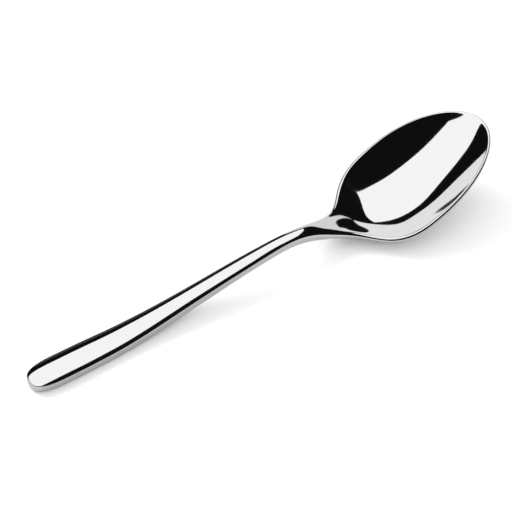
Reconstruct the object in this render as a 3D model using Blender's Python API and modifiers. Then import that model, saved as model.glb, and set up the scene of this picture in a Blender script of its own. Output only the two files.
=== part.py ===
"""Dessert spoon of polished steel: a solid handle, and a bowl whose tang seats in it.

Metres, +Z up. The spoon lies along X on the table plane z = 0, with the end of the handle at -X
and the tip of the bowl at +X. Both pieces are lofts through the cross sections of one flowing
form, which is parted at the waist of the neck.
"""
import bpy
import bmesh
import numpy as np

# Plan sizes, seen from above
OVERALL_LENGTH = 0.1800
HANDLE_WIDTH = 0.0105
HANDLE_MID_WIDTH = 0.0070
WAIST_WIDTH = 0.0048
CREST_WIDTH = 0.0049
SHOULDER_WIDTH = 0.0174
CHEEK_WIDTH = 0.0300
BOWL_WIDTH = 0.0415

# Places along the handle, measured from its end
END_ROUND = 0.0108
HANDLE_WIDEST_FROM_END = 0.0150
FLAT_FROM_END = 0.0270
HANDLE_MID_FROM_END = 0.0560

# Places along the neck and the bowl, measured back from the tip
WAIST_FROM_TIP = 0.0894
JOINT_FROM_TIP = 0.0830
CREST_FROM_TIP = 0.0769
SHOULDER_FROM_TIP = 0.0570
CHEEK_FROM_TIP = 0.0496
HEEL_FROM_TIP = 0.0440
BOWL_WIDEST_FROM_TIP = 0.0330
BOWL_DEEPEST_FROM_TIP = 0.0240

# Heights of the upper edge above the table
HANDLE_MID_HEIGHT = 0.0061
WAIST_HEIGHT = 0.0111
CREST_HEIGHT = 0.0112
SHOULDER_HEIGHT = 0.0055
WIDEST_HEIGHT = 0.0116
DEEPEST_HEIGHT = 0.0153
TIP_HEIGHT = 0.0244

# Upright edge of the handle and of the rim, and the metal along the middle
HANDLE_EDGE = 0.0033
WAIST_EDGE = 0.0028
CREST_EDGE = 0.0032
SHOULDER_EDGE = 0.0017
RIM_EDGE = 0.0012
HANDLE_CROWN = 0.0011
WAIST_CROWN = 0.0007
CREST_CROWN = 0.0006
SHOULDER_WALL = 0.0025
BOWL_WALL = 0.0018

# Outside depth of the bowl below its rim, and the worn flat that it stands on
BOWL_DEPTH = 0.0096
SHOULDER_BELLY = 0.0028
HEEL_FLAT = 0.00015

# Forms of the curves: how full the end, the tip and the cross sections are
END_SQUARENESS = 2.6
END_FULLNESS = 0.353
TIP_SQUARENESS = 2.0
TIP_FULLNESS = 0.536
CROWN_ROUNDNESS = 2.0
DISH_ROUNDNESS = 2.25

# Softened edges
EDGE_RADIUS = 0.00025
EDGE_SEGMENTS = 2
EDGE_ANGLE = np.radians(40)

# The brazed joint: a tang on the neck, in a socket in the handle
TANG_LENGTH = 0.0080
TANG_WIDTH = 0.0022
TANG_THICKNESS = 0.0014
TANG_ROOT = 0.0020
JOINT_GAP = 0.0003

# Fineness of the faceted solids, and how far the end faces stop short of the rounded ends
HANDLE_SECTIONS = 36
BOWL_SECTIONS = 48
POINTS_ACROSS = 17
OUTLINE_STEPS = 4000
END_STOP = 0.00004

STEEL_COLOUR = (0.78, 0.78, 0.78, 1.0)
STEEL_ROUGHNESS = 0.06

end_x = -OVERALL_LENGTH / 2
tip_x = OVERALL_LENGTH / 2
handle_wide_x = end_x + HANDLE_WIDEST_FROM_END
flat_x = end_x + FLAT_FROM_END
handle_mid_x = end_x + HANDLE_MID_FROM_END
waist_x = tip_x - WAIST_FROM_TIP
joint_x = tip_x - JOINT_FROM_TIP
crest_x = tip_x - CREST_FROM_TIP
shoulder_x = tip_x - SHOULDER_FROM_TIP
cheek_x = tip_x - CHEEK_FROM_TIP
heel_x = tip_x - HEEL_FROM_TIP
widest_x = tip_x - BOWL_WIDEST_FROM_TIP
deepest_x = tip_x - BOWL_DEEPEST_FROM_TIP


def flowing_curve(points, level_last=True):
    """The cubic spline through (place, value) points: level at its first point, level or
    running straight out at its last, and holding its end values beyond them."""
    places, values = np.array(points, float).T
    gaps = np.diff(places)
    slopes = np.diff(values) / gaps
    count = len(places)
    system = np.eye(count)
    known = np.zeros(count)
    for i in range(1, count - 1):
        system[i, i - 1] = 1 / gaps[i - 1]
        system[i, i] = 2 / gaps[i - 1] + 2 / gaps[i]
        system[i, i + 1] = 1 / gaps[i]
        known[i] = 3 * (slopes[i - 1] / gaps[i - 1] + slopes[i] / gaps[i])
    if not level_last:
        system[-1, -2:] = 1, 2
        known[-1] = 3 * slopes[-1]
    tangents = np.linalg.solve(system, known)

    def value(place):
        place = np.clip(place, places[0], places[-1])
        i = np.clip(np.searchsorted(places, place) - 1, 0, count - 2)
        t = (place - places[i]) / gaps[i]
        return ((1 + 2 * t) * (1 - t) ** 2 * values[i] + t * t * (3 - 2 * t) * values[i + 1]
                + gaps[i] * t * (1 - t) * ((1 - t) * tangents[i] - t * tangents[i + 1]))

    return value


side_line = flowing_curve([
    (handle_wide_x, HANDLE_WIDTH / 2),
    (handle_mid_x, HANDLE_MID_WIDTH / 2),
    (waist_x, WAIST_WIDTH / 2),
    (crest_x, CREST_WIDTH / 2),
    (shoulder_x, SHOULDER_WIDTH / 2),
    (cheek_x, CHEEK_WIDTH / 2),
    (widest_x, BOWL_WIDTH / 2),
])
edge_height = flowing_curve([
    (flat_x, HANDLE_EDGE),
    (handle_mid_x, HANDLE_MID_HEIGHT),
    (waist_x, WAIST_HEIGHT),
    (crest_x, CREST_HEIGHT),
    (shoulder_x, SHOULDER_HEIGHT),
    (widest_x, WIDEST_HEIGHT),
    (deepest_x, DEEPEST_HEIGHT),
    (tip_x, TIP_HEIGHT),
], level_last=False)
edge_thickness = flowing_curve([
    (flat_x, HANDLE_EDGE),
    (waist_x, WAIST_EDGE),
    (crest_x, CREST_EDGE),
    (shoulder_x, SHOULDER_EDGE),
    (widest_x, RIM_EDGE),
])
middle_thickness = flowing_curve([
    (flat_x, HANDLE_EDGE + HANDLE_CROWN),
    (waist_x, WAIST_EDGE + WAIST_CROWN),
    (crest_x, CREST_EDGE + CREST_CROWN),
    (shoulder_x, SHOULDER_WALL),
    (heel_x, BOWL_WALL),
    (deepest_x, BOWL_WALL),
    (tip_x, RIM_EDGE),
])
heel_belly = edge_height(heel_x) - edge_thickness(heel_x) + HEEL_FLAT
belly = flowing_curve([
    (joint_x, 0),
    (shoulder_x, SHOULDER_BELLY),
    (heel_x, heel_belly),
    (deepest_x, BOWL_DEPTH),
    (tip_x, 0),
], level_last=False)
roundness = flowing_curve([
    (crest_x, CROWN_ROUNDNESS),
    (widest_x, DISH_ROUNDNESS),
])


def rounded_end(x):
    """Share of the handle's full width that its rounded end leaves at x."""
    to_end = np.clip((end_x + END_ROUND - x) / END_ROUND, 0, 1)
    return (1 - to_end ** END_SQUARENESS) ** END_FULLNESS


def rounded_tip(x):
    """Share of the bowl's full width that its rounded tip leaves at x."""
    to_tip = np.clip((x - widest_x) / BOWL_WIDEST_FROM_TIP, 0, 1)
    return (1 - to_tip ** TIP_SQUARENESS) ** TIP_FULLNESS


def half_width(x):
    """Half of the plan width: the rounded end, the flowing sides, then the tip of the bowl."""
    return side_line(x) * rounded_end(x) * rounded_tip(x)


def middle_height(x):
    """Height of the top along the middle. At the end of the handle the crown sinks to the edge,
    by the square of the width, as the rise of one arc does."""
    low_edge = edge_height(x) - edge_thickness(x)
    crown = (middle_thickness(x) - edge_thickness(x)) * rounded_end(x) ** 2
    return low_edge - belly(x) + edge_thickness(x) + crown


def cross_section(x):
    """One closed ring of points at x: the top from side to side, then back along the underside."""
    across = np.sin(np.linspace(-np.pi / 2, np.pi / 2, POINTS_ACROSS))
    swell = 1 - np.abs(across) ** roundness(x)
    top_edge = edge_height(x)
    low_edge = top_edge - edge_thickness(x)
    y = across * half_width(x)
    top = top_edge + (middle_height(x) - top_edge) * swell
    under = np.maximum(low_edge - belly(x) * swell, 0)
    ring = [(x, y[i], top[i]) for i in range(POINTS_ACROSS)]
    ring += [(x, y[i], under[i]) for i in reversed(range(POINTS_ACROSS))]
    return ring


def stations(first_x, last_x, count):
    """Places along X that are evenly spread along the outline, so that round ends stay round."""
    fine = np.linspace(first_x, last_x, OUTLINE_STEPS)
    steps = np.hypot(np.diff(fine), np.diff(half_width(fine)))
    run = np.concatenate([[0], np.cumsum(steps)])
    return np.interp(np.linspace(0, run[-1], count), run, fine)


def add_object(name, mesh, collection):
    """Wrap a mesh in a named object of a collection."""
    item = bpy.data.objects.new(name, mesh)
    collection.objects.link(item)
    return item


def loft(name, places, collection):
    """A closed solid through the cross sections at the given places."""
    shape = bmesh.new()
    rings = [[shape.verts.new(point) for point in cross_section(x)] for x in places]
    size = len(rings[0])
    for back, front in zip(rings, rings[1:]):
        for i in range(size):
            j = (i + 1) % size
            shape.faces.new((back[i], back[j], front[j], front[i]))
    shape.faces.new(rings[0])
    shape.faces.new(rings[-1])
    bmesh.ops.recalc_face_normals(shape, faces=shape.faces)
    mesh = bpy.data.meshes.new(name)
    shape.to_mesh(mesh)
    shape.free()
    mesh.shade_smooth()
    mesh.set_sharp_from_angle(angle=EDGE_ANGLE)
    return add_object(name, mesh, collection)


def soften_edges(item):
    """Round the edges that the top and the underside make with the upright sides."""
    bevel = item.modifiers.new("softened_edges", "BEVEL")
    bevel.width = EDGE_RADIUS
    bevel.segments = EDGE_SEGMENTS
    bevel.limit_method = "ANGLE"
    bevel.angle_limit = EDGE_ANGLE


def core_height(x):
    """Height of the middle of the metal."""
    return middle_height(x) - middle_thickness(x) / 2


def joint_block(name, low_x, high_x, clearance, collection):
    """A block along the middle of the waist: the tang, or its socket when given a clearance."""
    rise = core_height(high_x) - core_height(low_x)
    core = (core_height(high_x) + core_height(low_x)) / 2
    bpy.ops.mesh.primitive_cube_add(size=1, location=((low_x + high_x) / 2, 0, core))
    block = bpy.context.object
    block.name = name
    block.scale = (
        np.hypot(high_x - low_x, rise),
        TANG_WIDTH + 2 * clearance,
        TANG_THICKNESS + 2 * clearance,
    )
    block.rotation_euler.y = -np.arctan2(rise, high_x - low_x)
    bpy.ops.object.transform_apply(location=False, rotation=True, scale=True)
    for owner in list(block.users_collection):
        owner.objects.unlink(block)
    collection.objects.link(block)
    block.hide_render = True
    block.display_type = "WIRE"
    return block


def combine(item, tool, operation):
    """Cut a tool out of an object, or join it to the object."""
    boolean = item.modifiers.new(tool.name, "BOOLEAN")
    boolean.operation = operation
    boolean.object = tool
    boolean.solver = "EXACT"


def polished_steel(name):
    """Bright steel for one piece."""
    steel = bpy.data.materials.new(name)
    steel.use_nodes = True
    shader = steel.node_tree.nodes["Principled BSDF"]
    shader.inputs["Base Color"].default_value = STEEL_COLOUR
    shader.inputs["Metallic"].default_value = 1.0
    shader.inputs["Roughness"].default_value = STEEL_ROUGHNESS
    return steel


def new_collection(name):
    collection = bpy.data.collections.new(name)
    bpy.context.scene.collection.children.link(collection)
    return collection


def main():
    for item in list(bpy.data.objects):
        bpy.data.objects.remove(item)
    spoon = new_collection("dessert_spoon")
    cutters = new_collection("cutters")

    handle_face = joint_x - JOINT_GAP / 2
    bowl_face = joint_x + JOINT_GAP / 2
    tang_end = bowl_face - TANG_LENGTH

    handle = loft("handle", stations(end_x + END_STOP, handle_face, HANDLE_SECTIONS), spoon)
    soften_edges(handle)
    socket = joint_block("socket", tang_end - JOINT_GAP, joint_x + TANG_ROOT, JOINT_GAP, cutters)
    combine(handle, socket, "DIFFERENCE")
    handle.data.materials.append(polished_steel("handle_steel"))

    bowl = loft("bowl", stations(bowl_face, tip_x - END_STOP, BOWL_SECTIONS), spoon)
    soften_edges(bowl)
    tang = joint_block("tang", tang_end, bowl_face + TANG_ROOT, 0, cutters)
    combine(bowl, tang, "UNION")
    bowl.data.materials.append(polished_steel("bowl_steel"))


main()
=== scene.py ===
# %% [markdown]
# # A dessert spoon of polished steel
#
# A spoon is mostly a mirror: what we see on it is the studio, bent by its curves. So the lesson
# is about smooth form. The solids from the CAD step give the frame: where the spoon lies, how
# long it is and which piece is which. We load them first.

# %% Load the solids
import math

import bpy
import numpy as np
from mathutils import Matrix, Vector


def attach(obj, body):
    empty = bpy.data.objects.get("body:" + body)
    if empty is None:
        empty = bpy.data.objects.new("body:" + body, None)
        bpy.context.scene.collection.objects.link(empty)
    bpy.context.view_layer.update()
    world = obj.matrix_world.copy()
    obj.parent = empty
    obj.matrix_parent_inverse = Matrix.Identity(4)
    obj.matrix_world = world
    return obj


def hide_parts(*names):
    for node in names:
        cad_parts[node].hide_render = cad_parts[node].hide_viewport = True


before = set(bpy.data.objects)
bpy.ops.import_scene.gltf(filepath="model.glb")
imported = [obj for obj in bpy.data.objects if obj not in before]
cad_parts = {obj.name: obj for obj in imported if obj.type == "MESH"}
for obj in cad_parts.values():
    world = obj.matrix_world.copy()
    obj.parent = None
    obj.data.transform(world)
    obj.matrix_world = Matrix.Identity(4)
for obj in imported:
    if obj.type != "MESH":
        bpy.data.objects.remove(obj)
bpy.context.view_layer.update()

# %% [markdown]
# ## The sizes
#
# A designer of cutlery draws two views: the plan, which gives the width, and the side, which
# gives the heights. All sizes are in metres. Places on the handle are measured from its end,
# and places on the neck and the bowl from the tip, as one would with a ruler. Each named spot
# is a place along the spoon and the width there.

# %% Plan sizes
LENGTH = 0.1799
END_X = -LENGTH / 2
TIP_X = LENGTH / 2

END_ROUND = 0.0108
END_SQUARENESS = 2.6
END_FULLNESS = 0.353
TIP_ROUND = 0.0330
TIP_DRAWN_IN = 0.02

WIDEST_X = TIP_X - TIP_ROUND
JOINT_X = TIP_X - 0.0830

HANDLE_WIDE = (END_X + 0.0150, 0.0107)
HANDLE_MID = (END_X + 0.0560, 0.0074)
WAIST = (TIP_X - 0.0894, 0.0053)
CREST = (TIP_X - 0.0769, 0.0052)
FLARE = (TIP_X - 0.0660, 0.0084)
SHOULDER = (TIP_X - 0.0570, 0.0164)
CHEEK = (TIP_X - 0.0496, 0.0310)
BOWL_WIDE = (WIDEST_X, 0.04148)


def in_mm(*lengths):
    """Lengths in millimetres, for printing."""
    return [round(1000 * float(length), 2) for length in lengths]


print("length, handle, waist and bowl, mm:",
      in_mm(LENGTH, HANDLE_WIDE[1], WAIST[1], BOWL_WIDE[1]))

# %% [markdown]
# ## Curves that flow
#
# Polished metal shows every kink. A polyline would flash at each corner, and even arcs that
# only share a tangent leave a crease in the reflections. A cubic spline keeps its curvature
# unbroken through all its points, so it is the right curve for every line of the spoon.


# %% The flowing curve
def flowing_curve(*points, level_start=True, level_end=True):
    """The cubic spline through (place, value) points. An end is level, or runs straight out."""
    places, values = np.array(points, float).T
    gaps = np.diff(places)
    slopes = np.diff(values) / gaps
    count = len(places)
    system = np.eye(count)
    known = np.zeros(count)
    for i in range(1, count - 1):
        system[i, i - 1:i + 2] = 1 / gaps[i - 1], 2 / gaps[i - 1] + 2 / gaps[i], 1 / gaps[i]
        known[i] = 3 * (slopes[i - 1] / gaps[i - 1] + slopes[i] / gaps[i])
    if not level_start:
        system[0, :2] = 2, 1
        known[0] = 3 * slopes[0]
    if not level_end:
        system[-1, -2:] = 1, 2
        known[-1] = 3 * slopes[-1]
    tangents = np.linalg.solve(system, known)

    def value(place):
        place = np.clip(place, places[0], places[-1])
        i = np.clip(np.searchsorted(places, place) - 1, 0, count - 2)
        t = (place - places[i]) / gaps[i]
        ends = (1 + 2 * t) * (1 - t) ** 2 * values[i] + t * t * (3 - 2 * t) * values[i + 1]
        return ends + gaps[i] * t * (1 - t) * ((1 - t) * tangents[i] - t * tangents[i + 1])

    return value


# %% [markdown]
# ## The plan
#
# Seen from above, the spoon is slim at the waist, flares at the shoulder and swells into the
# bowl. One flowing curve gives the width along the sides. It can't turn square to the spoon, so
# the rounded end and the tip each multiply it by a share that falls to nothing there.


# %% The plan outline
side_width = flowing_curve(
    HANDLE_WIDE, HANDLE_MID, WAIST, CREST, FLARE, SHOULDER, CHEEK, BOWL_WIDE)


def end_share(x):
    """Share of the full width that the rounded end of the handle leaves."""
    to_end = np.clip((END_X + END_ROUND - x) / END_ROUND, 0, 1)
    return (1 - to_end ** END_SQUARENESS) ** END_FULLNESS


def tip_share(x):
    """Share of the full width that the tip of the bowl leaves: an oval, drawn in a little."""
    to_tip = np.clip((x - WIDEST_X) / TIP_ROUND, 0, 1)
    return np.sqrt(1 - to_tip ** 2) * (1 - TIP_DRAWN_IN * to_tip ** 2)


def half_width(x):
    return side_width(x) / 2 * end_share(x) * tip_share(x)


print("half widths of handle, waist, shoulder and bowl, mm:",
      in_mm(*(half_width(spot[0]) for spot in (HANDLE_WIDE, WAIST, SHOULDER, BOWL_WIDE))))

# %% [markdown]
# ## The side view
#
# Seen from the side, the spoon's edge leaves the table near the end of the handle, arches up to
# the neck, dives to the shoulder and climbs to the tip. The line along the middle is a crown
# above that edge on the handle, and the floor of the dish below it in the bowl.

# %% Heights of the edge
HANDLE_FLAT_X = END_X + 0.0270
HANDLE_EDGE = 0.0033

edge_height = flowing_curve(
    (HANDLE_FLAT_X, HANDLE_EDGE), (HANDLE_MID[0], 0.0062), (WAIST[0], 0.0112),
    (CREST[0], 0.0114), (SHOULDER[0], 0.0058), (WIDEST_X, 0.0127), (TIP_X - 0.0240, 0.0167),
    (TIP_X, 0.02545), level_end=False)
edge_thickness = flowing_curve(
    (HANDLE_FLAT_X, HANDLE_EDGE), (HANDLE_MID[0], 0.0036), (WAIST[0], 0.0032),
    (CREST[0], 0.0033), (SHOULDER[0], 0.0018), (WIDEST_X, 0.0015))

print("edge at the waist, shoulder and tip, mm:",
      in_mm(edge_height(WAIST[0]), edge_height(SHOULDER[0]), edge_height(TIP_X)))

# %% Heights along the middle
CROWN_SINKS = 1.4
CROWN_UNTIL_X = -0.0050
CROWN_LEAD_X = -0.0120

crown = flowing_curve(
    (END_X + END_ROUND, 0.00135), (HANDLE_MID[0], 0.00110), (WAIST[0], 0.00086))


def handle_middle(x):
    """The crown of the handle, which sinks with the width at the rounded end."""
    return edge_height(x) + crown(x) * end_share(x) ** CROWN_SINKS


dish_middle = flowing_curve(
    (CROWN_LEAD_X, handle_middle(CROWN_LEAD_X)), (CROWN_UNTIL_X, handle_middle(CROWN_UNTIL_X)),
    (WAIST[0], handle_middle(WAIST[0])),
    (TIP_X - 0.077, 0.0123), (TIP_X - 0.071, 0.0112), (TIP_X - 0.066, 0.0090),
    (TIP_X - 0.060, 0.0062), (TIP_X - 0.052, 0.0028), (TIP_X - 0.046, 0.0018),
    (TIP_X - 0.038, 0.0025), (TIP_X - 0.028, 0.0050), (TIP_X - 0.018, 0.0098),
    (TIP_X - 0.010, 0.0154), (TIP_X - 0.004, 0.0208),
    (TIP_X, edge_height(TIP_X)), level_start=False, level_end=False)


def middle_height(x):
    return np.where(x < CROWN_UNTIL_X, handle_middle(x), dish_middle(x))


print("middle at the waist, shoulder and widest place, mm:",
      in_mm(*(middle_height(spot[0]) for spot in (WAIST, SHOULDER, BOWL_WIDE))))

# %% [markdown]
# ## The cross section
#
# Across its width the top is a fair curve: a dome on the handle and a dish in the bowl. A power
# of the width would do, but its curvature breaks in the middle. A sum of even powers is smooth
# everywhere: the square gives the dome or the dish, and two more numbers shape the flanks between
# the middle and the edge. The bulge lifts or sinks a whole flank, and the lean tips it, up on the
# side of the edge and down on the side of the middle.

# %% Shape of the flanks
NARROWEST = 1e-7

bulge = flowing_curve(
    (WAIST[0], 0.0), (TIP_X - 0.072, 0.0), (TIP_X - 0.060, 0.0010), (TIP_X - 0.046, 0.0016),
    (TIP_X - 0.038, 0.0001), (TIP_X - 0.030, -0.0011), (TIP_X - 0.020, -0.0005), (TIP_X, 0.0))
lean = flowing_curve(
    (TIP_X - 0.066, 0.0), (TIP_X - 0.059, 0.0009), (TIP_X - 0.050, -0.0010),
    (TIP_X - 0.033, 0.0021), (TIP_X - 0.018, 0.0))


def across(x, y):
    """Square of the share of the half width at a point."""
    return np.minimum((y / np.maximum(half_width(x), NARROWEST)) ** 2, 1.0)


def rise_from_edge(x, y):
    """Height of the top above its edge, before the rim is ground."""
    share = across(x, y)
    dome = (middle_height(x) - edge_height(x)) * (1 - share)
    flank = bulge(x) + lean(x) * (2 * share - 1)
    return dome + flank * share * (1 - share)


print("depth of the dish where it is widest, mm:", in_mm(-rise_from_edge(WIDEST_X, 0.0)))

# %% [markdown]
# ## The rim
#
# A pressed bowl has its rim ground and polished, which leaves a narrow land that falls a little
# outwards. It could be bevelled or inset, but then its width would not follow the bowl. Here the
# land is part of the formula: the dish rises until it is the depth of the cut below the edge and
# goes on as the land, and a square root rounds the corner between them. On the shoulder the land
# fades out.

# %% Grind the rim
RIM_FALL = 0.05
LIP_ROUND = 0.0001

rim_cut = flowing_curve(
    (TIP_X - 0.0600, 0.0), (TIP_X - 0.0495, 0.00038), (TIP_X - 0.0430, 0.00056),
    (TIP_X - 0.0350, 0.00076), (TIP_X - 0.0270, 0.00085))
rim_share = flowing_curve((TIP_X - 0.0600, 0.0), (TIP_X - 0.0500, 1.0))


def lipped(x, rise):
    """A rise above the edge, turned over softly at the lip to fall a little outwards."""
    above = rise + rim_cut(x)
    ground = (1 - RIM_FALL) * above - (1 + RIM_FALL) * np.sqrt(above ** 2 + LIP_ROUND ** 2)
    return rise + rim_share(x) * (ground / 2 - rim_cut(x) - rise)


def top_height(x, y):
    return edge_height(x) + lipped(x, rise_from_edge(x, y))


def rim_height(x):
    return edge_height(x) + lipped(x, 0.0)


print("rim at the shoulder, widest place and tip, mm:",
      in_mm(rim_height(SHOULDER[0]), rim_height(WIDEST_X), rim_height(TIP_X)))

# %% [markdown]
# ## The underside
#
# The handle is flat underneath, while the bowl is pressed from sheet, so its back follows the
# dish a sheet's thickness lower. Solidify would copy every turn of the dish and of the lip to the
# back. A plain curve across, with the thickness given along the middle, is closer to what a press
# leaves. It stops at the table, where use has worn a flat.

# %% Heights of the underside
middle_thickness = flowing_curve(
    (HANDLE_FLAT_X, 0.0046), (WAIST[0], 0.0035), (CREST[0], 0.0038), (SHOULDER[0], 0.0025),
    (TIP_X - 0.0440, 0.0019), (TIP_X - 0.0200, 0.0015), (TIP_X, 0.0012))


def under_height(x, y):
    low_edge = rim_height(x) - edge_thickness(x)
    pressed = np.minimum(low_edge, middle_height(x) - middle_thickness(x))
    low_middle = np.where(x < JOINT_X, low_edge, pressed)
    return np.maximum(low_edge + (low_middle - low_edge) * (1 - across(x, y)), 0.0)


print("underside at the waist, shoulder and widest place, mm:",
      in_mm(*(under_height(spot[0], 0.0) for spot in (WAIST, SHOULDER, BOWL_WIDE))))

# %% [markdown]
# ## Where the mesh runs
#
# A grid that is simply cut off at the tip would end in slivers. Here its rows fan out instead:
# each row starts on the middle line and ends on the outline, and near the end and the tip the
# rows turn about a point, as spokes do. The first and the last row then close on themselves.
# Rows lie closer together at the joint, so that the two pieces mirror the studio as one.

# %% Places of the rows along the outline
ROW_STEP = 0.0006
JOINT_ROW_STEP = 0.0001
JOINT_ROW_GROWTH = 0.25
FINE_COUNT = 900
FINE_REACH = 0.09

turn = np.linspace(0, np.pi / 2, FINE_COUNT)
fine_x = np.concatenate([
    END_X + FINE_REACH * (1 - np.cos(turn)), TIP_X - FINE_REACH * (1 - np.cos(turn[-2::-1]))])
fine_step = np.hypot(np.diff(fine_x), np.diff(half_width(fine_x)))
row_step = np.clip(
    JOINT_ROW_STEP + JOINT_ROW_GROWTH * np.abs(fine_x[1:] - JOINT_X), JOINT_ROW_STEP, ROW_STEP)
rows_passed = np.concatenate([[0], np.cumsum(fine_step / row_step)])


def outline_places(first_x, last_x):
    """Places along X at which rows end on the outline."""
    first, last = np.interp((first_x, last_x), fine_x, rows_passed)
    rows = np.linspace(first, last, math.ceil(last - first) + 1)
    places = np.interp(rows, rows_passed, fine_x)
    places[0], places[-1] = first_x, last_x
    return places


handle_places = outline_places(END_X, JOINT_X)
bowl_places = outline_places(JOINT_X, TIP_X)
print("rows:", len(handle_places), "on the handle,", len(bowl_places), "on the bowl")

# %% Places of the rows along the middle line
END_FAN = (0.0050, 0.0200)
TIP_FAN = (0.0120, 0.0450)
FAN_FADE = 3


def fan(distance, spokes):
    """Distance along the middle line of the row that ends at this distance along the outline."""
    radius, reach = spokes
    return distance + radius * np.maximum(1 - distance / reach, 0) ** FAN_FADE


def row_start(x):
    from_end = END_X + fan(x - END_X, END_FAN)
    return np.where(x < 0, from_end, TIP_X - fan(TIP_X - x, TIP_FAN))


print("first and last row start at x, mm:", in_mm(row_start(END_X), row_start(TIP_X)))

# %% [markdown]
# ## How round the edges are
#
# The upper edge of the handle is a crisp arris. On the neck it rolls over softly, and along the
# rim of the bowl it is rounded so that it is kind to the lips. The width of the rounding is one
# more flowing curve along the spoon, and the lower edge has its own.

# %% Widths of the rounded edges
top_round = flowing_curve(
    (HANDLE_MID[0], 0.00022), (WAIST[0], 0.00030), (CREST[0], 0.00070), (SHOULDER[0], 0.00100),
    (CHEEK[0], 0.00100), (WIDEST_X, 0.00080))
low_round = flowing_curve((HANDLE_MID[0], 0.00120), (CREST[0], 0.00080), (WIDEST_X, 0.00050))

print("upper edge at the waist, shoulder and widest place, mm:",
      in_mm(*(top_round(spot[0]) for spot in (WAIST, SHOULDER, BOWL_WIDE))))

# %% [markdown]
# ## One skin of the spoon
#
# Each piece is two skins, top and underside. A skin starts as a flat grid, which already has
# the rows and the cells we need, and every point of it is then moved to its place on the form.
# Most cells share the dish evenly, a narrow zone beside the edge has finer ones for the lip,
# and the outermost cell is left for the rounding of the edge.

# %% Where the points of a row lie
INNER_CELLS = 24
LIP_CELLS = 10
CELLS_ACROSS = INNER_CELLS + LIP_CELLS + 1
LIP_ZONE = 0.0020
LIP_ZONE_SHARE = 0.45
EDGE_CELL = 1.06
LEAST_SLANT = 0.4
LEAST_AREA = 1e-12


def skin_places(places, row, cell, rounding):
    """X and Y of the points of a skin, from their row and their cell across it."""
    outer_x = places[row]
    outer_y = half_width(outer_x)
    inner_x = row_start(outer_x)
    spoke = np.hypot(outer_x - inner_x, outer_y)
    run_x, run_y = np.gradient(places), np.gradient(half_width(places))
    slant = np.abs((outer_x - inner_x) * run_y[row] - outer_y * run_x[row])
    slant /= np.maximum(spoke * np.hypot(run_x, run_y)[row], LEAST_AREA)
    edge_cell = EDGE_CELL * rounding(outer_x) / (spoke * np.maximum(slant, LEAST_SLANT))
    lip = np.minimum(LIP_ZONE / spoke, LIP_ZONE_SHARE)
    inner = np.abs(cell) / INNER_CELLS * (1 - edge_cell - lip)
    outer = 1 - edge_cell - lip * (INNER_CELLS + LIP_CELLS - np.abs(cell)) / LIP_CELLS
    reach = np.where(np.abs(cell) <= INNER_CELLS, inner, outer)
    reach[np.abs(cell) == CELLS_ACROSS] = 1.0
    return inner_x + (outer_x - inner_x) * reach, np.sign(cell) * outer_y * reach


print("cells from the middle to the edge:", CELLS_ACROSS)


# %% [markdown]
# Three small helpers serve all that follows: one selects, because an operator acts on all that
# is selected, one reads a whole mesh into an array, and one keeps a number with each point or
# edge. The halves of the first and last fanned row fall on each other, so doubles are merged.


# %% Shape a grid into a skin
MERGED_WITHIN = 1e-6


def select_only(*items):
    """Select these objects alone. The first becomes the active one."""
    bpy.ops.object.select_all(action="DESELECT")
    for item in items:
        item.select_set(True)
    bpy.context.view_layer.objects.active = items[0]


def read(items, name, width, kind=float):
    """A property of all points or edges of a mesh, with one row for each."""
    values = np.empty(width * len(items), kind)
    items.foreach_get(name, values)
    return values.reshape(-1, width)


def keep_numbers(mesh, name, domain, values):
    """One number for each point or edge, kept with the mesh."""
    numbers = mesh.attributes.new(name, "FLOAT", domain)
    numbers.data.foreach_set("value", np.asarray(values, float))


def add_skin(name, places, height, rounding):
    """A grid shaped into the top or the underside over the given places along the outline."""
    bpy.ops.object.select_all(action="DESELECT")
    bpy.ops.mesh.primitive_grid_add(
        x_subdivisions=len(places) - 1, y_subdivisions=2 * CELLS_ACROSS, size=1)
    skin = bpy.context.object
    skin.name = name
    flat = read(skin.data.vertices, "co", 3)
    row = np.rint((flat[:, 0] + 0.5) * (len(places) - 1)).astype(int)
    cell = np.rint(flat[:, 1] * 2 * CELLS_ACROSS).astype(int)
    x, y = skin_places(places, row, cell, rounding)
    shaped = np.stack([x, y, height(x, y)], axis=1)
    skin.data.vertices.foreach_set("co", shaped.ravel())
    keep_numbers(skin.data, "outline", "POINT", np.abs(cell) == CELLS_ACROSS)
    bpy.ops.object.mode_set(mode="EDIT")
    bpy.ops.mesh.select_all(action="SELECT")
    bpy.ops.mesh.remove_doubles(threshold=MERGED_WITHIN)
    bpy.ops.object.mode_set(mode="OBJECT")
    return skin


# %% [markdown]
# ## Join the skins and round the edges
#
# The open borders of the two skins run side by side, so bridging them adds the upright wall
# and, at the joint, the flat face. The Bevel modifier then rounds the edges by the weight that
# each one carries, which is how its width can change along the spoon.


# %% Make a closed piece of two skins
def bridge(top, under):
    """Join two skins into one closed piece."""
    select_only(top, under)
    bpy.ops.object.join()
    bpy.ops.object.mode_set(mode="EDIT")
    bpy.ops.mesh.select_mode(type="EDGE")
    bpy.ops.mesh.select_all(action="DESELECT")
    bpy.ops.mesh.select_non_manifold()
    bpy.ops.mesh.bridge_edge_loops()
    bpy.ops.mesh.select_all(action="SELECT")
    bpy.ops.mesh.normals_make_consistent(inside=False)
    bpy.ops.object.mode_set(mode="OBJECT")
    return top


# %% Round the edges along the outline
WIDEST_ROUND = 0.0010
ROUND_STEPS = 6


def outline_edges(mesh):
    """Which edges run along the outline, and the middle of every edge."""
    points = read(mesh.vertices, "co", 3)
    ends = read(mesh.edges, "vertices", 2, int)
    on_outline = read(mesh.attributes["outline"].data, "value", 1)[:, 0]
    first, second = points[ends[:, 0]], points[ends[:, 1]]
    along = np.hypot(*(first - second)[:, :2].T) > MERGED_WITHIN
    return along & (on_outline[ends].min(axis=1) > 0.5), (first + second) / 2


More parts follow.
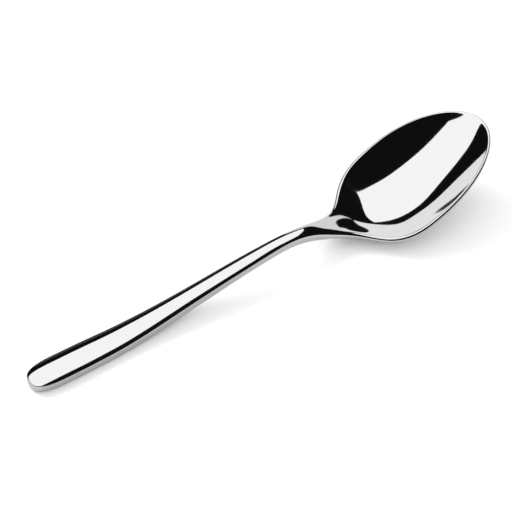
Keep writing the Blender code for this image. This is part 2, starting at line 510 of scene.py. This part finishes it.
def round_edges(piece):
    """Weigh the edges that run along the outline, and bevel them by weight."""
    chosen, middle = outline_edges(piece.data)
    x, z = middle[:, 0], middle[:, 2]
    upper = z > rim_height(x) - edge_thickness(x) / 2
    width = np.where(upper, top_round(x), low_round(x))
    weight = np.where(chosen, width / WIDEST_ROUND, 0.0)
    keep_numbers(piece.data, "bevel_weight_edge", "EDGE", weight)
    bevel = piece.modifiers.new("rounded_edges", "BEVEL")
    bevel.limit_method = "WEIGHT"
    bevel.width = WIDEST_ROUND
    bevel.segments = ROUND_STEPS
    bevel.use_clamp_overlap = False
    select_only(piece)
    bpy.ops.object.modifier_apply(modifier=bevel.name)
    print(piece.name, "edges rounded:", int(chosen.sum()))


# %% [markdown]
# ## The handle and the bowl
#
# On the real spoon these are a forged bar and a pressed dish with its neck. With the skins, the
# bridge and the rounding at hand, each piece is one line.


# %% Model the two pieces
def add_piece(name, places):
    """A closed, round-edged piece over the given places along the outline."""
    top = add_skin(name, places, top_height, top_round)
    under = add_skin(name + "_under", places, under_height, low_round)
    piece = bridge(top, under)
    round_edges(piece)
    return piece


handle = add_piece("handle_polished", handle_places)
bowl = add_piece("bowl_polished", bowl_places)
for piece in (handle, bowl):
    print(piece.name, len(piece.data.polygons), "faces")

# %% [markdown]
# ## The joint in the neck
#
# The bowl's neck ends in a tang, a short bar that sits in a socket in the handle. Brazed and
# ground flush, the joint can't be seen, but both meshes carry it. A block is laid along the
# neck, joined to the bowl, and a slightly larger one is cut out of the handle.

# %% A block along the neck
TANG_LENGTH = 0.0080
TANG_WIDTH = 0.0022
TANG_THICKNESS = 0.0014
TANG_ROOT = 0.0020
TANG_GAP = 0.0003


def metal_middle(x):
    return float((middle_height(x) + under_height(x, 0.0)) / 2)


def neck_block(name, low_x, high_x, gap):
    """A bar along the middle of the neck."""
    rise = metal_middle(high_x) - metal_middle(low_x)
    height = (metal_middle(high_x) + metal_middle(low_x)) / 2
    bpy.ops.object.select_all(action="DESELECT")
    bpy.ops.mesh.primitive_cube_add(size=1, location=((low_x + high_x) / 2, 0, height))
    block = bpy.context.object
    block.name = name
    run = math.hypot(high_x - low_x, rise)
    block.scale = (run, TANG_WIDTH + 2 * gap, TANG_THICKNESS + 2 * gap)
    block.rotation_euler.y = -math.atan2(rise, high_x - low_x)
    bpy.ops.object.transform_apply(location=True, rotation=True, scale=True)
    return block


# %% Tang and socket
def combine(piece, tool, operation):
    """Join a tool to a piece, or cut it out, and remove the tool."""
    boolean = piece.modifiers.new(tool.name, "BOOLEAN")
    boolean.operation = operation
    boolean.object = tool
    boolean.solver = "EXACT"
    select_only(piece)
    bpy.ops.object.modifier_apply(modifier=boolean.name)
    bpy.data.objects.remove(tool)


tang_end = JOINT_X - TANG_LENGTH
tang_root = JOINT_X + TANG_ROOT
combine(bowl, neck_block("tang", tang_end, tang_root, 0), "UNION")
combine(handle, neck_block("socket", tang_end - TANG_GAP, tang_root, TANG_GAP), "DIFFERENCE")
print("tang length, width, thickness and gap, mm:",
      in_mm(TANG_LENGTH, TANG_WIDTH, TANG_THICKNESS, TANG_GAP))

# %% [markdown]
# ## Smooth shading
#
# Shading that is smooth everywhere would smear the corners of the tang over the neck. The rounded
# edges turn in small steps, and only the joint's own faces meet at a sharp angle, so an angle
# tells the two apart.

# %% Shade by angle
SMOOTH_BELOW = math.radians(38)

for piece in (handle, bowl):
    select_only(piece)
    bpy.ops.object.shade_smooth_by_angle(angle=SMOOTH_BELOW)
print("smooth below", round(math.degrees(SMOOTH_BELOW)), "degrees")

# %% [markdown]
# ## Where a spoon wears
#
# Use leaves a trace that is felt more than seen: edges, and the places that lie on the table,
# lose a little of their gloss. Each point of the mesh gets a number for it, which the finish
# reads as an attribute. A painted mask would need a picture, and this needs none.

# %% Mark the wear
EDGE_WEAR_REACH = 0.0007
TABLE_WEAR_REACH = 0.0003


def mark_wear(piece):
    x, y, z = read(piece.data.vertices, "co", 3).T
    from_edge = np.clip((half_width(x) - np.abs(y)) / EDGE_WEAR_REACH, 0, 1)
    from_table = np.clip(z / TABLE_WEAR_REACH, 0, 1)
    worn = 1 - np.minimum(from_edge, from_table)
    keep_numbers(piece.data, "worn", "POINT", worn)
    print(piece.name, "mean wear:", round(float(worn.mean()), 2))


for piece in (handle, bowl):
    mark_wear(piece)

# %% [markdown]
# ## Shader sums in Python
#
# A finish is a sum of noises. Written with nodes it is a web of lines, so one small class wraps
# a socket: an expression with it adds the Math nodes, and one method adds any other node.


# %% A socket that can be reckoned with
class Signal:
    """The output of a node, in expressions."""

    def __init__(self, tree, socket=None):
        self.tree = tree
        self.socket = socket

    def node(self, kind, settings=None, sockets=None, output=0):
        """The output of a new node. Its sockets are given by name or by number."""
        made = self.tree.nodes.new(kind)
        for name, value in (settings or {}).items():
            setattr(made, name, value)
        for key, value in (sockets or {}).items():
            self.feed(made.inputs[key], value)
        return Signal(self.tree, made.outputs[output])

    def feed(self, socket, value):
        if isinstance(value, Signal):
            self.tree.links.new(value.socket, socket)
        else:
            socket.default_value = value

    def math(self, operation, first, second):
        return self.node("ShaderNodeMath", {"operation": operation}, {0: first, 1: second})

    def __add__(self, other):
        return self.math("ADD", self, other)

    def __radd__(self, other):
        return self.math("ADD", other, self)

    def __mul__(self, other):
        return self.math("MULTIPLY", self, other)

    def __rmul__(self, other):
        return self.math("MULTIPLY", other, self)


# %% [markdown]
# The Mix node has sockets of the same name for numbers, vectors and colours, so those for colours
# are told by their numbers.

# %% A colour between two
MIX_SHARE, MIX_FIRST, MIX_SECOND, MIX_COLOUR = 0, 6, 7, 2


def mixed_colour(start, share, first, second):
    return start.node(
        "ShaderNodeMix", {"data_type": "RGBA"},
        {MIX_SHARE: share, MIX_FIRST: first, MIX_SECOND: second}, output=MIX_COLOUR)


# %% [markdown]
# ## Mirror-polished steel
#
# The wheel that polished the spoon ran along it, so its last traces are long thin lines, far
# too fine to blur the mirror but enough to keep it from looking like glass. Over them lies a
# faint cloudiness from washing. Both change the roughness by a hair, and the tone less still.
# Scratches could also be a bump, but a bump as fine as these would only sparkle.

# %% The steel
STEEL_TONE = (0.82, 0.82, 0.82, 1.0)
STEEL_TONE_WORN = (0.76, 0.76, 0.76, 1.0)
STEEL_ROUGHNESS = 0.035
LINES_PER_METRE = (60, 2600, 2600)
LINE_DETAIL = 2.0
LINE_ROUGHNESS = 0.014
LINE_TONE = 0.2
CLOUDS_PER_METRE = 70.0
CLOUD_DETAIL = 3.0
CLOUD_ROUGHNESS = 0.016
WORN_ROUGHNESS = 0.030
WORN_CLOUD_TONE = 0.6


def polished_steel(name):
    steel = bpy.data.materials.new(name)
    steel.use_nodes = True
    tree = steel.node_tree
    shader = tree.nodes["Principled BSDF"]
    start = Signal(tree)
    place = start.node("ShaderNodeTexCoord", output="Object")
    along = start.node("ShaderNodeMapping", None, {"Vector": place, "Scale": LINES_PER_METRE})
    lines = start.node(
        "ShaderNodeTexNoise", None, {"Vector": along, "Scale": 1.0, "Detail": LINE_DETAIL})
    clouds = start.node(
        "ShaderNodeTexNoise", None,
        {"Vector": place, "Scale": CLOUDS_PER_METRE, "Detail": CLOUD_DETAIL})
    worn = start.node("ShaderNodeAttribute", {"attribute_name": "worn"}, output="Fac")
    roughness = (STEEL_ROUGHNESS + LINE_ROUGHNESS * lines + CLOUD_ROUGHNESS * clouds
                 + WORN_ROUGHNESS * worn)
    dulled = WORN_CLOUD_TONE * clouds * worn + LINE_TONE * lines
    tone = mixed_colour(start, dulled, STEEL_TONE, STEEL_TONE_WORN)
    start.feed(shader.inputs["Base Color"], tone)
    start.feed(shader.inputs["Roughness"], roughness)
    shader.inputs["Metallic"].default_value = 1.0
    print(name, "has", len(tree.nodes), "nodes")
    return steel


# %% Give each piece its finish and its place in the frame
for piece, node in ((handle, "handle"), (bowl, "bowl")):
    piece.data.materials.clear()
    piece.data.materials.append(polished_steel(node + "_steel"))
    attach(piece, "root")
    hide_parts(node)

# %% [markdown]
# ## The table
#
# The spoon lies on a plain white table, lit so strongly that a photograph shows it as pure white.
# The polished steel would then mirror it as bright as the lamps, while product photographs show
# a pale grey there. So the table has two tones: the white one for the camera and the lamps, and a
# darker one for the rays that come to it by way of the mirror. That darker tone is painted shade:
# it darkens the table's reflection in the steel, and the light on the table stays as it is.

# %% The white table
TABLE_TONE = (0.90, 0.90, 0.90, 1.0)
# The darker tone is painted shade, seen only in the table's reflection in the steel.
TABLE_PAINTED_SHADE_IN_MIRROR = (0.52, 0.52, 0.52, 1.0)
TABLE_ROUGHNESS = 0.9
TABLE_GLOSS = 0.1
TABLE_RADIUS = 1.2
TABLE_CORNERS = 128
TABLE_TOP = -0.00002

bpy.ops.object.select_all(action="DESELECT")
bpy.ops.mesh.primitive_circle_add(
    vertices=TABLE_CORNERS, radius=TABLE_RADIUS, fill_type="NGON", location=(0, 0, TABLE_TOP))
floor = bpy.context.object
floor.name = "floor"
paper = bpy.data.materials.new("white_table")
paper.use_nodes = True
table = Signal(paper.node_tree)
table_shader = paper.node_tree.nodes["Principled BSDF"]
# Rays that come by way of the mirror get the darker tone: painted shade on the table's
# reflection.
by_mirror = table.node("ShaderNodeLightPath", output="Is Glossy Ray")
table_tone_and_mirror_shade = mixed_colour(table, by_mirror, TABLE_TONE, TABLE_PAINTED_SHADE_IN_MIRROR)
table.feed(table_shader.inputs["Base Color"], table_tone_and_mirror_shade)
table_shader.inputs["Roughness"].default_value = TABLE_ROUGHNESS
table_shader.inputs["Specular IOR Level"].default_value = TABLE_GLOSS
floor.data.materials.append(paper)
print("table:", 2 * TABLE_RADIUS, "m across")

# %% [markdown]
# ## The camera
#
# The photographer stands off the end of the handle, to one side of it, and looks down at the
# spoon. A long lens from half a metre keeps the handle from looming.

# %% The camera
HEADING = math.radians(33.2)
CAMERA_HEIGHT_ANGLE = math.radians(48)
CAMERA_VIEW_ANGLE = math.radians(18)
CAMERA_DISTANCE = 0.5512
CAMERA_AIM = Vector((0.0010, 0.0078, 0.0))

upward = Vector((0, 0, 1))
ahead = Vector((math.sin(HEADING), math.cos(HEADING), 0))
aside = Vector((math.cos(HEADING), -math.sin(HEADING), 0))
look = ahead * math.cos(CAMERA_HEIGHT_ANGLE) - upward * math.sin(CAMERA_HEIGHT_ANGLE)
camera = bpy.data.objects.new("camera", bpy.data.cameras.new("camera"))
camera.data.angle = CAMERA_VIEW_ANGLE
camera.location = CAMERA_AIM - look * CAMERA_DISTANCE
camera.rotation_euler = (math.pi / 2 - CAMERA_HEIGHT_ANGLE, 0, -HEADING)
bpy.context.scene.collection.objects.link(camera)
bpy.context.scene.camera = camera
print("camera at", [round(v, 3) for v in camera.location])

# %% [markdown]
# ## The studio
#
# The room is dark, and all that the spoon mirrors is put there on purpose. The table needs more
# light than the mirror image of a lamp may show, so each light is seen by one kind of ray: it
# shows in the mirror, or it lights the table.


# %% Lights
def add_light(name, place, size, glow, mirrored):
    """A rectangular light, which either shows in the mirror or lights the table."""
    light = bpy.data.lights.new(name, "AREA")
    light.shape = "RECTANGLE"
    light.size, light.size_y = size
    light.energy = glow * math.pi * light.size * light.size_y
    lamp = bpy.data.objects.new(name, light)
    lamp.matrix_world = place
    lamp.visible_camera = False
    lamp.visible_glossy = mirrored
    lamp.visible_diffuse = not mirrored
    bpy.context.scene.collection.objects.link(lamp)
    print(name, "at", [round(v, 2) for v in place.translation], "glow", glow)


def placed(side, slope, location):
    """The place of a light from its two edge directions and its middle."""
    place = Matrix((side, slope, side.cross(slope))).transposed().to_4x4()
    place.translation = location
    return place


def turned(angle):
    """The directions ahead and aside, turned to the right by an angle."""
    return (ahead * math.cos(angle) + aside * math.sin(angle),
            aside * math.cos(angle) - ahead * math.sin(angle))


# %% [markdown]
# One large soft panel hangs above the spoon, behind and to the left, and tilts towards it. It is
# the white patch in the bowl and the white stripe on the handle. Its place and its size are given
# in shares of its height above the table.

# %% The panel overhead
PANEL_HEIGHT = 2.35
PANEL_ASIDE = -0.422 * PANEL_HEIGHT
PANEL_AHEAD = 0.093 * PANEL_HEIGHT
PANEL_SIZE = (2.40 * PANEL_HEIGHT, 1.47 * PANEL_HEIGHT)
PANEL_TURN = math.radians(-42.3)
PANEL_TILT = math.radians(-38.9)
PANEL_ROLL = math.radians(6.3)
PANEL_GLOW = 1.10

level_slope, level_side = turned(PANEL_TURN)
panel_side = level_side * math.cos(PANEL_ROLL) + upward * math.sin(PANEL_ROLL)
rolled_up = upward * math.cos(PANEL_ROLL) - level_side * math.sin(PANEL_ROLL)
panel_slope = level_slope * math.cos(PANEL_TILT) + rolled_up * math.sin(PANEL_TILT)
panel_middle = aside * PANEL_ASIDE + ahead * PANEL_AHEAD + upward * PANEL_HEIGHT
add_light("panel", placed(panel_side, panel_slope, panel_middle), PANEL_SIZE, PANEL_GLOW, True)

# %% [markdown]
# A low white wall stands beyond the table, to the right. The neck and the near side of the bowl
# mirror it, and the dark patch on the neck is the bowl itself, in front of that wall.


# %% The low wall
def add_wall(name, turn_angle, distance, left, right, height, glow):
    """An upright wall that glows in the mirror, from the level of the table to its height."""
    wall_ahead, wall_aside = turned(turn_angle)
    middle = wall_ahead * distance + wall_aside * (left + right) / 2 + upward * height / 2
    add_light(name, placed(-wall_aside, upward, middle), (right - left, height), glow, True)


WALL_DISTANCE = 2.0
WALL_HEIGHT = 0.38 * WALL_DISTANCE
WALL_LEFT = -1.42 * WALL_DISTANCE
WALL_RIGHT = 0.85 * WALL_DISTANCE
WALL_TURN = math.radians(45.5)
WALL_GLOW = 0.77

add_wall("low_wall", WALL_TURN, WALL_DISTANCE, WALL_LEFT, WALL_RIGHT, WALL_HEIGHT, WALL_GLOW)

# %% [markdown]
# A piece of the room's own wall closes the view on the left. Hardly any light reaches it, so it
# shows only as a grey sheen along the far edge of the handle.

# %% The dim wall
DIM_DISTANCE = 2.0
DIM_HEIGHT = 0.22 * DIM_DISTANCE
DIM_REACH = 0.18 * DIM_DISTANCE
DIM_TURN = math.radians(-19)
DIM_GLOW = 0.065

add_wall("dim_wall", DIM_TURN, DIM_DISTANCE, -DIM_REACH, DIM_REACH, DIM_HEIGHT, DIM_GLOW)

# %% [markdown]
# The table has a light of its own. It stands behind the spoon and to the left, about half way up,
# and it is large enough for the soft edge that the shadow has.

# %% The light on the table
KEY_DISTANCE = 2.6
KEY_SIZE = (1.2, 1.2)
KEY_TURN = math.radians(-50)
KEY_LEAN = math.radians(50)
KEY_GLOW = 7.8

key_ahead, key_aside = turned(KEY_TURN)
to_key = upward * math.cos(KEY_LEAN) + key_ahead * math.sin(KEY_LEAN)
key_place = placed(key_aside, to_key.cross(key_aside), to_key * KEY_DISTANCE)
add_light("key", key_place, KEY_SIZE, KEY_GLOW, False)

# %% [markdown]
# The room is almost black to the mirror. It lights the table evenly from all sides, so that the
# shadow stays pale, and it is plain white where the camera looks past the table. Colours are
# shown as they come, because the default view would turn the white of the table grey.

# %% The room
ROOM_DARK = 0.005
ROOM_BEYOND = 1.0
ROOM_GLOW = 1.19

room = bpy.data.worlds.new("room")
room.use_nodes = True
bpy.context.scene.world = room
air = Signal(room.node_tree)
to_camera = air.node("ShaderNodeLightPath", output="Is Camera Ray")
to_table = air.node("ShaderNodeLightPath", output="Is Diffuse Ray")
background = room.node_tree.nodes["Background"]
background.inputs["Color"].default_value = (1, 1, 1, 1)
strength = ROOM_DARK + ROOM_BEYOND * to_camera + ROOM_GLOW * to_table
air.feed(background.inputs["Strength"], strength)
bpy.context.scene.view_settings.view_transform = "Standard"
print("room: mirror", ROOM_DARK, "camera", ROOM_BEYOND, "table", ROOM_GLOW)
